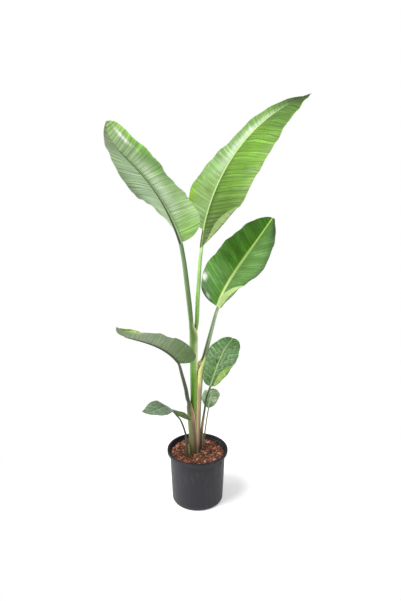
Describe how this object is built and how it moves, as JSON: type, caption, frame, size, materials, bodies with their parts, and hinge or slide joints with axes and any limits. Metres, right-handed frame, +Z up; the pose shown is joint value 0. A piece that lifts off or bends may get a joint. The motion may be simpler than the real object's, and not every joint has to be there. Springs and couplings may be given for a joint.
{
  "type": "potted strelitzia",
  "caption": "Tall potted foliage plant: broad paddle leaves on long stalks with nested sheaths, growing from bark chips in a round plain nursery pot.",
  "frame": {"origin": "middle of the pad under the pot's base, in the plane that the pot stands on", "axes": "+Z up through the pot's middle, +X to the right and +Y away from someone facing the plant's front"},
  "size_m": [0.6986, 0.6389, 1.584],
  "materials": {
    "pot": "satin",
    "soil": "matte",
    "stalk": "satin",
    "blade_bright": "gloss",
    "blade_deep": "gloss"
  },
  "bodies": {
    "root": {"pot": "pot", "soil": "soil", "leaf_1_stalk": "stalk", "leaf_1_blade": "blade_bright", "leaf_2_stalk": "stalk", "leaf_2_blade": "blade_bright", "leaf_3_stalk": "stalk", "leaf_3_blade": "blade_deep", "leaf_4_stalk": "stalk", "leaf_4_blade": "blade_deep", "leaf_5_stalk": "stalk", "leaf_5_blade": "blade_deep", "leaf_6_stalk": "stalk", "leaf_6_blade": "blade_deep", "leaf_7_stalk": "stalk", "leaf_7_blade": "blade_deep"}
  },
  "joints": []
}
